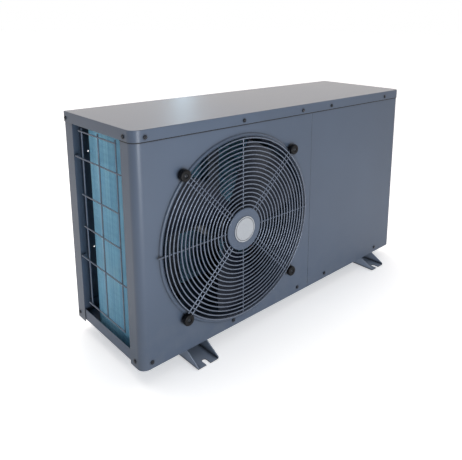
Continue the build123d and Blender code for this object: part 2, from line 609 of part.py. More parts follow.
with BuildPart() as fan_motor:
    with BuildSketch(FAN_SECTION):
        with BuildLine():
            Polyline((0, MOTOR_REAR), (0, MOTOR_FRONT - 6), (20, MOTOR_FRONT - 6), (22, MOTOR_FRONT),
                     (MOTOR_R - 6, MOTOR_FRONT), (MOTOR_R, MOTOR_FRONT + 6), (MOTOR_R, MOTOR_REAR),
                     close=True)
        make_face()
    revolve(axis=FAN_AXIS)
    with BuildSketch(FAN_SECTION):
        with BuildLine():
            Polyline((0, SHAFT_REAR + 1), (BEARING_R, SHAFT_REAR + 1), (BEARING_R, MOTOR_REAR - 16),
                     (STATOR_R, MOTOR_REAR - 16), (STATOR_R, MOTOR_FRONT + 16), (BEARING_R, MOTOR_FRONT + 16),
                     (BEARING_R, MOTOR_FRONT + 4), (SHAFT_R + 1, MOTOR_FRONT + 4),
                     (SHAFT_R + 1, MOTOR_FRONT - 8), (0, MOTOR_FRONT - 8), close=True)
        make_face()
    revolve(axis=FAN_AXIS, mode=Mode.SUBTRACT)
    for angle in range(0, 360, 90):
        ear_x = FAN_X + (MOTOR_R + 6) * cos(radians(angle + 45))
        ear_z = FAN_Z + (MOTOR_R + 6) * sin(radians(angle + 45))
        with BuildSketch(front(ear_x, ear_z, MOTOR_REAR)):
            Circle(9)
            Circle(2.7, mode=Mode.SUBTRACT)
        extrude(amount=5)
fan_motor.part.label = "fan_motor"
export_step(fan_motor.part, "parts/fan_motor.step")

# Two pressed rails stand on the pan and carry the motor on two cross straps
RAIL_X, RAIL_W = 66.0, 34.0
with BuildPart() as motor_bracket:
    for s in (-1, 1):
        rail_x = FAN_X + s * RAIL_X
        with BuildSketch(Plane.XY.offset(PAN_TOP)):
            with Locations((rail_x, MOTOR_REAR + 10)):
                Rectangle(RAIL_W, 16)
            with Locations((rail_x, MOTOR_REAR + 12)):
                Rectangle(RAIL_W - 3, 16, mode=Mode.SUBTRACT)
        extrude(amount=PANEL_TOP - PAN_TOP - 6)
        with Locations((rail_x, MOTOR_REAR + 14, PAN_TOP)):
            Box(RAIL_W + 16, 34, 1.5, align=LOW)
    for z in (FAN_Z - 41, FAN_Z + 41):
        with Locations((FAN_X, MOTOR_REAR + 1, z)):
            Box(2 * RAIL_X + RAIL_W, 2, 36)
motor_bracket.part.label = "motor_bracket"
export_step(motor_bracket.part, "parts/motor_bracket.step")

# -------------------- air coil: fin pack, end plates, copper bends, header
TUBE_R = 4.8
TUBE_PITCH = 25.0
TUBE_COUNT = 20            # tubes in each row
ROW_OFFSETS = (9.0, 27.0)      # the two tube rows, measured in from the coil's outer face
PLATE = 1.5


def bend_point(radius):
    reach = radius * cos(radians(45))
    return (COIL_X + COIL_BEND_R - reach, COIL_Y - COIL_BEND_R + reach)


with BuildPart() as coil_fins:
    with BuildSketch(Plane.XY.offset(COIL_Z0)):
        bend_x, bend_y = COIL_X + COIL_BEND_R, COIL_Y - COIL_BEND_R
        inner_r = COIL_BEND_R - COIL_DEPTH
        with BuildLine():
            Line((COIL_X, COIL_FRONT_Y), (COIL_X, bend_y))
            ThreePointArc((COIL_X, bend_y), bend_point(COIL_BEND_R), (bend_x, COIL_Y))
            Polyline((bend_x, COIL_Y), (COIL_END_X, COIL_Y), (COIL_END_X, COIL_Y - COIL_DEPTH),
                     (bend_x, COIL_Y - COIL_DEPTH))
            ThreePointArc((bend_x, COIL_Y - COIL_DEPTH), bend_point(inner_r), (COIL_X + COIL_DEPTH, bend_y))
            Polyline((COIL_X + COIL_DEPTH, bend_y), (COIL_X + COIL_DEPTH, COIL_FRONT_Y),
                     (COIL_X, COIL_FRONT_Y))
        make_face()
    extrude(amount=COIL_Z1 - COIL_Z0)
coil_fins.part.label = "coil_fins"
export_step(coil_fins.part, "parts/coil_fins.step")

HEADER_X, HEADER_R = 80.0, 9.5
header_y = COIL_Y - ROW_OFFSETS[0]
tube_z = [COIL_Z0 + 12 + TUBE_PITCH * i for i in range(TUBE_COUNT)]
coil_pairs = list(zip(tube_z[0::2], tube_z[1::2]))
with BuildPart() as coil_end_plates:
    with Locations((COIL_X, COIL_FRONT_Y, PAN_TOP)):
        Box(COIL_DEPTH + 3, PLATE, COIL_Z1 - PAN_TOP, align=(Align.MIN, Align.MAX, Align.MIN))
    with Locations((COIL_END_X, COIL_Y - COIL_DEPTH - 5, PAN_TOP)):
        Box(PLATE, COIL_DEPTH + 14, COIL_Z1 - PAN_TOP, align=(Align.MIN, Align.MIN, Align.MIN))
coil_end_plates.part.label = "coil_end_plates"
export_step(coil_end_plates.part, "parts/coil_end_plates.step")

with BuildPart() as coil_tubes:
    for low, high in coil_pairs:
        for row in ROW_OFFSETS:
            with BuildSketch(Plane.XZ.offset(-COIL_FRONT_Y + PLATE)):
                with Locations((COIL_X + row, low)):
                    Circle(TUBE_R)
            revolve(axis=Axis((0, COIL_FRONT_Y - PLATE, (low + high) / 2), (-1, 0, 0)), revolution_arc=180)
    for low, high in zip(tube_z[1:-1:2], tube_z[2::2]):
        with BuildSketch(Plane.YZ.offset(COIL_END_X + PLATE)):
            with Locations((COIL_Y - ROW_OFFSETS[1], low)):
                Circle(TUBE_R)
        revolve(axis=Axis((COIL_END_X + PLATE, 0, (low + high) / 2), (0, -1, 0)), revolution_arc=180)
    with Locations((HEADER_X, header_y, tube_z[0] - 10)):
        Cylinder(HEADER_R, tube_z[-1] - tube_z[0] + 20, align=LOW)
    for z in tube_z[::3]:
        with Locations(Location((COIL_END_X + PLATE, header_y, z), (0, 90, 0))):
            Cylinder(TUBE_R, HEADER_X - COIL_END_X - PLATE, align=LOW)
coil_tubes.part.label = "coil_tubes"
export_step(coil_tubes.part, "parts/coil_tubes.step")

# -------------------- partition and refrigerant circuit
COMPRESSOR_X, COMPRESSOR_Y, COMPRESSOR_R = 165.0, -10.0, 60.0
COMPRESSOR_Z0, COMPRESSOR_Z1 = 58.0, 300.0
TANK_X, TANK_Y, TANK_R = 262.0, -62.0, 36.0
TANK_Z0, TANK_Z1 = 82.0, 240.0
VALVE_Z = 385.0
PIPE_TOP_Z = 418.0
GAS_R, LIQUID_R = 6.35, 4.8
EXPANSION_X, EXPANSION_Y, EXPANSION_Z = 285.0, 78.0, 200.0
liquid_z = tube_z[0]
grommet_spots = [(COMPRESSOR_X + 82 * cos(radians(a)), COMPRESSOR_Y + 82 * sin(radians(a)))
                 for a in (30, 150, 270)]

with BuildPart() as partition:
    with Locations((WALL_X, 0, PAN_TOP)):
        Box(SHEET, 2 * INNER_Y - 8, PANEL_TOP - PAN_TOP - 1, align=(Align.MIN, Align.CENTER, Align.MIN))
    with Locations((WALL_X, COIL_Y - COIL_DEPTH - 6, 0)):
        Box(60, 200, 3 * TOTAL_H, align=(Align.CENTER, Align.MIN, Align.CENTER), mode=Mode.SUBTRACT)
    with Locations((WALL_X, 0, PAN_TOP)):
        Box(16, 2 * (COIL_Y - COIL_DEPTH - 7), SHEET, align=(Align.MIN, Align.CENTER, Align.MIN))
partition.part.label = "partition"
export_step(partition.part, "parts/partition.step")

with BuildPart() as compressor:
    with Locations((COMPRESSOR_X, COMPRESSOR_Y, COMPRESSOR_Z0)):
        Cylinder(COMPRESSOR_R, COMPRESSOR_Z1 - COMPRESSOR_Z0, align=LOW)
    fillet(compressor.edges().filter_by(GeomType.CIRCLE).sort_by(Axis.Z)[-1], 26)
    fillet(compressor.edges().filter_by(GeomType.CIRCLE).sort_by(Axis.Z)[0], 14)
    with BuildSketch(Plane.XY.offset(COMPRESSOR_Z0 - 3)):
        with Locations((COMPRESSOR_X, COMPRESSOR_Y)):
            Circle(50)
        with Locations(*grommet_spots):
            Circle(16)
        for x, y in grommet_spots:
            with BuildLine():
                Polyline((COMPRESSOR_X - 40, COMPRESSOR_Y), (x - 16, y), (x + 16, y),
                         (COMPRESSOR_X + 40, COMPRESSOR_Y), close=True)
            make_face()
        with Locations(*grommet_spots):
            Circle(5.3, mode=Mode.SUBTRACT)
    extrude(amount=3.2)
    with Locations((COMPRESSOR_X, COMPRESSOR_Y, COMPRESSOR_Z1)):
        Cylinder(GAS_R + 2, 8, align=LOW)
compressor.part.label = "compressor"
export_step(compressor.part, "parts/compressor.step")

with BuildPart() as compressor_cover:
    with Locations((COMPRESSOR_X, COMPRESSOR_Y - 34, COMPRESSOR_Z1 + 0.5)):
        Box(46, 30, 26, align=LOW)
    fillet(compressor_cover.edges().filter_by(Axis.Z), 6)
compressor_cover.part.label = "compressor_cover"
export_step(compressor_cover.part, "parts/compressor_cover.step")

with BuildPart() as compressor_mounts:
    for x, y in grommet_spots:
        with Locations((x, y, PAN_TOP)):
            Cylinder(13, COMPRESSOR_Z0 - 3 - PAN_TOP, align=LOW)
            Cylinder(5.2, 40, mode=Mode.SUBTRACT)
            Cylinder(5, COMPRESSOR_Z0 + 2 - PAN_TOP, align=LOW)
        with BuildSketch(Plane.XY.offset(COMPRESSOR_Z0 + 0.2)):
            with Locations((x, y)):
                RegularPolygon(9, 6)
        extrude(amount=6)
compressor_mounts.part.label = "compressor_mounts"
export_step(compressor_mounts.part, "parts/compressor_mounts.step")

with BuildPart() as accumulator:
    with Locations((TANK_X, TANK_Y, TANK_Z0)):
        Cylinder(TANK_R, TANK_Z1 - TANK_Z0, align=LOW)
    fillet(accumulator.edges().filter_by(GeomType.CIRCLE), 16)
accumulator.part.label = "accumulator"
export_step(accumulator.part, "parts/accumulator.step")

valve_ports = {"coil": -25.0, "suction": 0.0, "water": 25.0}
with BuildPart() as reversing_valve:
    with Locations(Location((COMPRESSOR_X, COMPRESSOR_Y, VALVE_Z), (0, 90, 0))):
        Cylinder(14, 104)
    fillet(reversing_valve.edges().filter_by(GeomType.CIRCLE), 5)
    for shift in valve_ports.values():
        with Locations((COMPRESSOR_X + shift, COMPRESSOR_Y, VALVE_Z)):
            Cylinder(GAS_R + 1.2, 18, align=LOW)
    with Locations((COMPRESSOR_X, COMPRESSOR_Y, VALVE_Z)):
        Cylinder(GAS_R + 1.2, 18, align=HIGH)
    with Locations((COMPRESSOR_X, COMPRESSOR_Y - 26, VALVE_Z)):
        Box(34, 26, 22)
reversing_valve.part.label = "reversing_valve"
export_step(reversing_valve.part, "parts/reversing_valve.step")

port_z = VALVE_Z + 18
suction_end = Vector(TANK_X - COMPRESSOR_X, TANK_Y - COMPRESSOR_Y).normalized() * (COMPRESSOR_R + 0.3)
suction_z = TANK_Z0 - 12
with BuildPart() as refrigerant_pipes:
    pump_x, pump_y = COMPRESSOR_X, COMPRESSOR_Y
    add(tube_along([(pump_x, pump_y, COMPRESSOR_Z1 + 8), (pump_x, pump_y, VALVE_Z - 18)],
                   0, GAS_R, GAS_R - 1))
    coil_x = pump_x + valve_ports["coil"]
    add(tube_along([(coil_x, pump_y, port_z), (coil_x, pump_y, PIPE_TOP_Z), (coil_x, 45, PIPE_TOP_Z),
                    (HEADER_X, 45, PIPE_TOP_Z), (HEADER_X, header_y - HEADER_R - 0.2, PIPE_TOP_Z)],
                   12, GAS_R, GAS_R - 1))
    add(tube_along([(pump_x, pump_y, port_z), (pump_x, pump_y, PIPE_TOP_Z), (pump_x, TANK_Y, PIPE_TOP_Z),
                    (TANK_X, TANK_Y, PIPE_TOP_Z), (TANK_X, TANK_Y, TANK_Z1)],
                   12, GAS_R, GAS_R - 1))
    water_x = pump_x + valve_ports["water"]
    add(tube_along([(water_x, pump_y, port_z), (water_x, pump_y, PIPE_TOP_Z), (water_x, 40, PIPE_TOP_Z),
                    (WATER_X, 40, PIPE_TOP_Z), (WATER_X, 40, 395)], 12, GAS_R, GAS_R - 1))
    add(tube_along([(TANK_X, TANK_Y, TANK_Z0), (TANK_X, TANK_Y, suction_z),
                    (pump_x + suction_end.X, pump_y + suction_end.Y, suction_z)],
                   10, GAS_R, GAS_R - 1))
    add(tube_along([(WATER_X - 68.3, WATER_Y, 60), (EXPANSION_X, WATER_Y, 60), (EXPANSION_X, EXPANSION_Y, 60),
                    (EXPANSION_X, EXPANSION_Y, EXPANSION_Z)], 12, LIQUID_R, LIQUID_R - 1))
    add(tube_along([(EXPANSION_X - 9.2, EXPANSION_Y, EXPANSION_Z + 12), (112, EXPANSION_Y, EXPANSION_Z + 12),
                    (112, EXPANSION_Y, liquid_z), (112, COIL_Y - ROW_OFFSETS[1], liquid_z),
                    (COIL_END_X + PLATE, COIL_Y - ROW_OFFSETS[1], liquid_z)], 9, LIQUID_R, LIQUID_R - 1))
refrigerant_pipes.part.label = "refrigerant_pipes"
export_step(refrigerant_pipes.part, "parts/refrigerant_pipes.step")

with BuildPart() as expansion_valve:
    with Locations((EXPANSION_X, EXPANSION_Y, EXPANSION_Z)):
        Cylinder(9, 34, align=LOW)
    with Locations((EXPANSION_X, EXPANSION_Y, EXPANSION_Z + 30)):
        Cylinder(17, 34, align=LOW)
    fillet(expansion_valve.edges().filter_by(GeomType.CIRCLE).sort_by(Axis.Z)[-1], 5)
expansion_valve.part.label = "expansion_valve"
export_step(expansion_valve.part, "parts/expansion_valve.step")

# -------------------- water exchanger and its two connections
SHELL_R, SHELL_Z0, SHELL_Z1 = 65.0, 70.0, 375.0
BOSS_R, BOSS_Y = 31.0, 102.0
WATER_BORE_R = 21.0
with BuildPart() as exchanger_shell:
    with Locations((WATER_X, WATER_Y, SHELL_Z0)):
        Cylinder(SHELL_R, SHELL_Z1 - SHELL_Z0, align=LOW)
    for z in WATER_Z.values():
        with Locations(Location((WATER_X, WATER_Y, z), (-90, 0, 0))):
            Cylinder(BOSS_R, BOSS_Y - WATER_Y, align=LOW)
    with Locations((WATER_X, WATER_Y, SHELL_Z0)):
        Cylinder(SHELL_R - 6, SHELL_Z1 - SHELL_Z0, align=LOW, mode=Mode.SUBTRACT)
    for z in WATER_Z.values():
        with Locations(Location((WATER_X, WATER_Y, z), (-90, 0, 0))):
            Cylinder(WATER_BORE_R, BOSS_Y, align=LOW, mode=Mode.SUBTRACT)
exchanger_shell.part.label = "exchanger_shell"
export_step(exchanger_shell.part, "parts/exchanger_shell.step")

with BuildPart() as exchanger_caps:
    for z, align in ((SHELL_Z0, HIGH), (SHELL_Z1, LOW)):
        with Locations((WATER_X, WATER_Y, z)):
            Cylinder(SHELL_R + 3, 20, align=align)
exchanger_caps.part.label = "exchanger_caps"
export_step(exchanger_caps.part, "parts/exchanger_caps.step")

with BuildPart() as exchanger_coil:
    with BuildLine() as winding:
        Helix(pitch=24, height=240, radius=44, center=(WATER_X, WATER_Y, SHELL_Z0 + 32))
    with BuildSketch(Plane(origin=winding.line @ 0, z_dir=winding.line % 0)):
        Circle(7)
    sweep(is_frenet=True)
exchanger_coil.part.label = "exchanger_coil"
export_step(exchanger_coil.part, "parts/exchanger_coil.step")

with BuildPart() as support_blocks:
    with Locations((WATER_X, WATER_Y, PAN_TOP)):
        Box(110, 60, SHELL_Z0 - 20 - PAN_TOP, align=LOW)
    for x, y in ((COIL_X + COIL_DEPTH / 2, -60), (COIL_X + COIL_DEPTH / 2, 30),
                 (-220, COIL_Y - COIL_DEPTH / 2), (-100, COIL_Y - COIL_DEPTH / 2)):
        with Locations((x, y, PAN_TOP)):
            Box(30, 30, COIL_Z0 - PAN_TOP, align=LOW)
support_blocks.part.label = "support_blocks"
export_step(support_blocks.part, "parts/support_blocks.step")

FLANGE_Y = PANEL_Y + 5
THREAD_R, THREAD_END = 33.0, 166.0
SOCKET_FLANGE = (THREAD_END + 0.2, THREAD_END + 5)


def water_section(z):
    return Plane(origin=(WATER_X, 0, z), x_dir=(1, 0, 0), z_dir=(0, 0, 1))


def water_axis(z):
    return Axis((WATER_X, 0, z), (0, 1, 0))


with BuildPart() as water_fittings:
    for z in WATER_Z.values():
        with BuildSketch(water_section(z)):
            with BuildLine():
                Polyline((WATER_BORE_R, BOSS_Y), (BOSS_R, BOSS_Y), (BOSS_R, PANEL_Y), (40, PANEL_Y),
                         (40, FLANGE_Y), (THREAD_R, FLANGE_Y), (THREAD_R, THREAD_END), (30.4, THREAD_END),
                         (30.4, PANEL_Y + 3), (WATER_BORE_R, PANEL_Y + 3), close=True)
            make_face()
        revolve(axis=water_axis(z))
water_fittings.part.label = "water_fittings"
export_step(water_fittings.part, "parts/water_fittings.step")

with BuildPart() as pipe_sockets:
    for z in WATER_Z.values():
        with BuildSketch(water_section(z)):
            with BuildLine():
                Polyline((PIPE_R, PANEL_Y + 4), (29.8, PANEL_Y + 4), (29.8, SOCKET_FLANGE[0]),
                         (THREAD_R - 0.5, SOCKET_FLANGE[0]), (THREAD_R - 0.5, SOCKET_FLANGE[1]),
                         (30.2, SOCKET_FLANGE[1]), (30.2, TAIL_Y), (PIPE_R, TAIL_Y), close=True)
            make_face()
        revolve(axis=water_axis(z))
pipe_sockets.part.label = "pipe_sockets"
export_step(pipe_sockets.part, "parts/pipe_sockets.step")

NUT_FRONT = FLANGE_Y + 2
with BuildPart() as union_nuts:
    for z in WATER_Z.values():
        with BuildSketch(rear(WATER_X, z, NUT_FRONT)):
            Circle(41)
            with PolarLocations(41, 12):
                Circle(3, mode=Mode.SUBTRACT)
        extrude(amount=23)
        with BuildSketch(water_section(z)):
            with BuildLine():
                Polyline((0, NUT_FRONT - 1), (THREAD_R + 0.3, NUT_FRONT - 1),
                         (THREAD_R + 0.3, SOCKET_FLANGE[1] + 0.2), (30.6, SOCKET_FLANGE[1] + 0.2),
                         (30.6, TAIL_Y), (0, TAIL_Y), close=True)
            make_face()
        revolve(axis=water_axis(z), mode=Mode.SUBTRACT)
union_nuts.part.label = "union_nuts"
export_step(union_nuts.part, "parts/union_nuts.step")

with BuildPart() as flow_switch:
    with Locations((WATER_X, 126, WATER_Z["inlet"] + BOSS_R + 0.2)):
        Cylinder(11, 16, align=LOW)
    with Locations((WATER_X, 126, WATER_Z["inlet"] + BOSS_R + 16)):
        Box(44, 30, 30, align=LOW)
    fillet(flow_switch.edges().filter_by(Axis.Z).filter_by(GeomType.LINE), 4)
flow_switch.part.label = "flow_switch"
export_step(flow_switch.part, "parts/flow_switch.step")

# -------------------- electrics: box, cover, board, terminal block, glands
BOX_X0, BOX_X1, BOX_Y0, BOX_Y1, BOX_Z0, BOX_Z1 = 64.0, 425.0, -138.0, 62.0, 432.0, 528.0
with BuildPart() as electric_box:
    with Locations(((BOX_X0 + BOX_X1) / 2, (BOX_Y0 + BOX_Y1) / 2, BOX_Z0)):
        Box(BOX_X1 - BOX_X0, BOX_Y1 - BOX_Y0, BOX_Z1 - BOX_Z0, align=LOW)
    offset(amount=-SHEET, openings=electric_box.faces().sort_by(Axis.Z)[-1])
electric_box.part.label = "electric_box"
export_step(electric_box.part, "parts/electric_box.step")

with BuildPart() as electric_cover:
    with Locations(((BOX_X0 + BOX_X1) / 2, (BOX_Y0 + BOX_Y1) / 2, BOX_Z1)):
        Box(BOX_X1 - BOX_X0, BOX_Y1 - BOX_Y0, SHEET, align=LOW)
electric_cover.part.label = "electric_cover"
export_step(electric_cover.part, "parts/electric_cover.step")

with BuildPart() as control_board:
    with Locations((200, -40, BOX_Z0 + 10)):
        Box(220, 150, 1.6, align=LOW)
    with Locations(*[(120 + 34 * i, 10, BOX_Z0 + 11.6) for i in range(5)]):
        Cylinder(13, 40, align=LOW)
    with Locations(*[(130 + 40 * i, -80, BOX_Z0 + 11.6) for i in range(4)]):
        Box(28, 22, 18, align=LOW)
    with Locations((250, -30, BOX_Z0 + 11.6)):
        Box(60, 34, 30, align=LOW)
    for x in (100, 300):
        for y in (-105, 25):
            with Locations((x, y, BOX_Z0 + SHEET)):
                Cylinder(4, 10 - SHEET, align=LOW)
control_board.part.label = "control_board"
export_step(control_board.part, "parts/control_board.step")

with BuildPart() as terminal_block:
    with Locations((370, 20, BOX_Z0 + SHEET)):
        Box(80, 30, 24, align=LOW)
    with Locations(*[(340 + 15 * i, 20, BOX_Z0 + SHEET + 12) for i in range(5)]):
        Box(12, 22, 20, align=LOW, mode=Mode.SUBTRACT)
terminal_block.part.label = "terminal_block"
export_step(terminal_block.part, "parts/terminal_block.step")

with BuildPart() as gland:
    Cylinder(GLAND_HOLE_R, 16, align=HIGH)
    with BuildSketch():
        RegularPolygon(12.5, 6)
    extrude(amount=6)
    with Locations((0, 0, 6)):
        Cylinder(11.5, 12, align=LOW)
    fillet(gland.faces().sort_by(Axis.Z)[-1].edges(), 4)
    Cylinder(5, 60, mode=Mode.SUBTRACT)

with BuildPart() as cable_glands:
    with Locations(*[rear(x, z) for x, z in GLAND_SPOTS]):
        add(gland.part)
cable_glands.part.label = "cable_glands"
export_step(cable_glands.part, "parts/cable_glands.step")

# -------------------- controller in the end panel, behind a hinged window
CONTROL_BACK = PANEL_X - 24
FACE_X = PANEL_X - 19          # front of the key plate
TRAY_WALL = 3.0
TRAY_FRONT = COVER_W / 2 - 0.1
inside_w, inside_h = CONTROL_W - 2 * TRAY_WALL, CONTROL_H - 2 * TRAY_WALL
HINGE_X, HINGE_Z = PANEL_X - 2.2, CONTROL_Z + inside_h / 2 - 3.6
HINGE_PIN_R, HINGE_R = 1.5, 2.7
KEY_R = 5.0
KEY_SPOTS = [(CONTROL_Y - 42 + 28 * i, CONTROL_Z - 24) for i in range(4)]


def end_plane(x, y=CONTROL_Y, z=CONTROL_Z):
    return side(1, y, z, x)


with BuildPart() as control_tray:
    with BuildSketch(end_plane(CONTROL_BACK)):
        RectangleRounded(CONTROL_W, CONTROL_H, 6)
    extrude(amount=TRAY_FRONT - CONTROL_BACK)
    with BuildSketch(end_plane(PANEL_X)):
        RectangleRounded(CONTROL_W + 12, CONTROL_H + 12, 9)
    extrude(amount=TRAY_FRONT - PANEL_X)
    with BuildSketch(end_plane(CONTROL_BACK + 2)):
        RectangleRounded(inside_w, inside_h, 3)
    extrude(amount=40, mode=Mode.SUBTRACT)
    with Locations(Location((HINGE_X, CONTROL_Y - inside_w / 2 - 2, HINGE_Z), (-90, 0, 0))):
        Cylinder(HINGE_PIN_R, inside_w + 4, align=LOW, mode=Mode.SUBTRACT)
control_tray.part.label = "control_tray"
export_step(control_tray.part, "parts/control_tray.step")

with BuildPart() as window_pin:
    with Locations(Location((HINGE_X, CONTROL_Y - inside_w / 2 - 2, HINGE_Z), (-90, 0, 0))):
        Cylinder(HINGE_PIN_R, inside_w + 4, align=LOW)
window_pin.part.label = "window_pin"
export_step(window_pin.part, "parts/window_pin.step")

window_low = CONTROL_Z - inside_h / 2 + 0.8
with BuildPart() as control_window:
    with Locations((HINGE_X, CONTROL_Y, window_low)):
        Box(2, inside_w - 1.6, HINGE_Z - window_low, align=LOW)
    fillet(control_window.edges().filter_by(Axis.X), 3)
    with Locations(Location((HINGE_X, CONTROL_Y - inside_w / 2 + 0.8, HINGE_Z), (-90, 0, 0))):
        Cylinder(HINGE_R, inside_w - 1.6, align=LOW)
        Cylinder(HINGE_PIN_R + 0.05, inside_w, align=LOW, mode=Mode.SUBTRACT)
    with Locations((HINGE_X + 1, CONTROL_Y, window_low + 3)):
        Box(1.2, 24, 3, align=(Align.MIN, Align.CENTER, Align.MIN))
control_window.part.label = "control_window"
export_step(control_window.part, "parts/control_window.step")

with BuildPart() as key_plate:
    with BuildSketch(end_plane(FACE_X)):
        RectangleRounded(inside_w - 0.4, inside_h - 0.4, 2.8)
        with Locations((0, 16)):
            Rectangle(62, 34, mode=Mode.SUBTRACT)
        with Locations(*[(y - CONTROL_Y, z - CONTROL_Z) for y, z in KEY_SPOTS]):
            Circle(KEY_R + 0.3, mode=Mode.SUBTRACT)
    extrude(amount=-2)
key_plate.part.label = "key_plate"
export_step(key_plate.part, "parts/key_plate.step")

with BuildPart() as control_display:
    with BuildSketch(end_plane(FACE_X - 0.6, CONTROL_Y, CONTROL_Z + 16)):
        Rectangle(61.6, 33.6)
    extrude(amount=-2)
control_display.part.label = "control_display"
export_step(control_display.part, "parts/control_display.step")

for number, (y, z) in enumerate(KEY_SPOTS, start=1):
    with BuildPart() as key:
        with BuildSketch(end_plane(FACE_X - 1.8, y, z)):
            Circle(KEY_R)
        extrude(amount=4.6)
        fillet(key.faces().sort_by(Axis.X)[-1].edges(), 0.8)
    key.part.label = f"key_{number}"
    export_step(key.part, f"parts/key_{number}.step")
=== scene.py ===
"""Pool heat pump in a sheet-metal case, dressed piece by piece in the order in which it is put together."""
import math
import random

import bmesh
import bpy
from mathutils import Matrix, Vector


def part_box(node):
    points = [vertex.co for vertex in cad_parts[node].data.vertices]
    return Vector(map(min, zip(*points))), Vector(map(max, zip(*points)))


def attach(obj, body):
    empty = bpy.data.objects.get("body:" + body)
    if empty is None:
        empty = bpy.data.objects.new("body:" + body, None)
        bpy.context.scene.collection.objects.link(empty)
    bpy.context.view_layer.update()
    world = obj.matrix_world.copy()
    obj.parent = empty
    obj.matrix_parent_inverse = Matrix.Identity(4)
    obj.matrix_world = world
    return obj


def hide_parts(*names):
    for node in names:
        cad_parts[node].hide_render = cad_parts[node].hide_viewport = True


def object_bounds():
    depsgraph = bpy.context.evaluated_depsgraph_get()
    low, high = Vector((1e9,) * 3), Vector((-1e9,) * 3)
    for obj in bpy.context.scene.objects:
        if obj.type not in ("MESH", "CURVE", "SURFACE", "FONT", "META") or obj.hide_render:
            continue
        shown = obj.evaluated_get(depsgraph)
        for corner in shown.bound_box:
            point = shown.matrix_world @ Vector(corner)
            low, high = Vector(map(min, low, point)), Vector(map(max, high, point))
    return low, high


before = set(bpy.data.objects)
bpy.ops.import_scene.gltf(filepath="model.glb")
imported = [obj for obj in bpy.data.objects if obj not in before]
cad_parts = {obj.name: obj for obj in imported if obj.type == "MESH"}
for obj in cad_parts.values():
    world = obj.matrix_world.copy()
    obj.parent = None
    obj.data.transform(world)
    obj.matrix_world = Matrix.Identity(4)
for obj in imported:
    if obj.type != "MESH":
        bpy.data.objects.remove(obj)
cad_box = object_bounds()


# ---------------------------------------------------------------- case sheets
# The case is folded from galvanised sheet and powder-coated slate grey: cover, front panels, end panel,
# rear corner, base pan, duct ring and feet. The coat is satin, with a fine orange-peel skin.
class Shade:
    """A value in a material's nodes. Operators on it add Math nodes; node() adds a node of any kind."""

    def __init__(self, tree, socket=None):
        self.tree = tree
        self.socket = socket

    def node(self, kind, settings=None, inputs=None, output=0):
        made = self.tree.nodes.new("ShaderNode" + kind)
        for name, value in (settings or {}).items():
            if name == "stops":
                for place, stop in enumerate(value):
                    if place > 1:
                        made.color_ramp.elements.new(stop[0])
                    made.color_ramp.elements[place].position = stop[0]
                    made.color_ramp.elements[place].color = (*stop[1], 1.0)
            else:
                setattr(made, name, value)
        for name, value in (inputs or {}).items():
            if isinstance(value, Shade):
                self.tree.links.new(value.socket, made.inputs[name])
            else:
                made.inputs[name].default_value = value
        return Shade(self.tree, made.outputs[output])

    def __add__(self, other):
        return self.node("Math", {"operation": "ADD"}, {0: self, 1: other})

    def __sub__(self, other):
        return self.node("Math", {"operation": "SUBTRACT"}, {0: self, 1: other})

    def __rsub__(self, other):
        return self.node("Math", {"operation": "SUBTRACT"}, {0: other, 1: self})

    def __mul__(self, other):
        return self.node("Math", {"operation": "MULTIPLY"}, {0: self, 1: other})

    __radd__ = __add__
    __rmul__ = __mul__


def new_finish(name):
    """An empty material, as a Shade to add nodes to."""
    material = bpy.data.materials.new(name)
    material.use_nodes = True
    material.node_tree.nodes.clear()
    finish = Shade(material.node_tree)
    finish.material = material
    return finish


def close_finish(finish, **sockets):
    """Ends a finish in its shader and gives its material. Socket names have underscores for spaces."""
    inputs = {key.replace("_", " "): value for key, value in sockets.items()}
    shader = finish.node("BsdfPrincipled", None, inputs)
    output = finish.tree.nodes.new("ShaderNodeOutputMaterial")
    finish.tree.links.new(shader.socket, output.inputs["Surface"])
    return finish.material


def grain(finish, size, detail=2.0, stretch=(1.0, 1.0, 1.0)):
    """Random value from 0 to 1 whose grains are about size metres across."""
    place = finish.node("TexCoord", output="Object")
    place = finish.node("Mapping", None, {"Vector": place, "Scale": stretch})
    return finish.node("TexNoise", None, {"Vector": place, "Scale": 1.0 / size, "Detail": detail})


def ramp(finish, value, low, high):
    """0 where value is under low, 1 where it is over high."""
    return finish.node("MapRange", None, {"Value": value, "From Min": low, "From Max": high})


def tint(finish, first, second, amount):
    """The first colour turning into the second as amount goes from 0 to 1."""
    return finish.node("Mix", {"data_type": "RGBA"}, {0: amount, 6: first, 7: second}, output=2)


def soft_edges(finish, radius):
    """Normals rounded over the edges, and a mask that is 1 on those edges."""
    rounded = finish.node("Bevel", {"samples": 4}, {"Radius": radius})
    flat = finish.node("NewGeometry", output="Normal")
    facing = finish.node("VectorMath", {"operation": "DOT_PRODUCT"}, {0: rounded, 1: flat}, output="Value")
    return rounded, ramp(finish, 1.0 - facing, 0.02, 0.25)


def bumps(finish, height, depth, normal):
    """Normals with height's relief, depth metres deep, added to them."""
    return finish.node("Bump", None, {"Height": height, "Distance": depth, "Normal": normal})


def dress(material, *nodes):
    """Gives CAD nodes their finish."""
    for name in nodes:
        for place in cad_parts[name].material_slots:
            place.material = material


def crevices(finish, reach):
    """1 in the open, falling to 0 in corners and gaps no wider than about reach."""
    return finish.node("AmbientOcclusion", {"samples": 6}, {"Distance": reach}, output="AO")


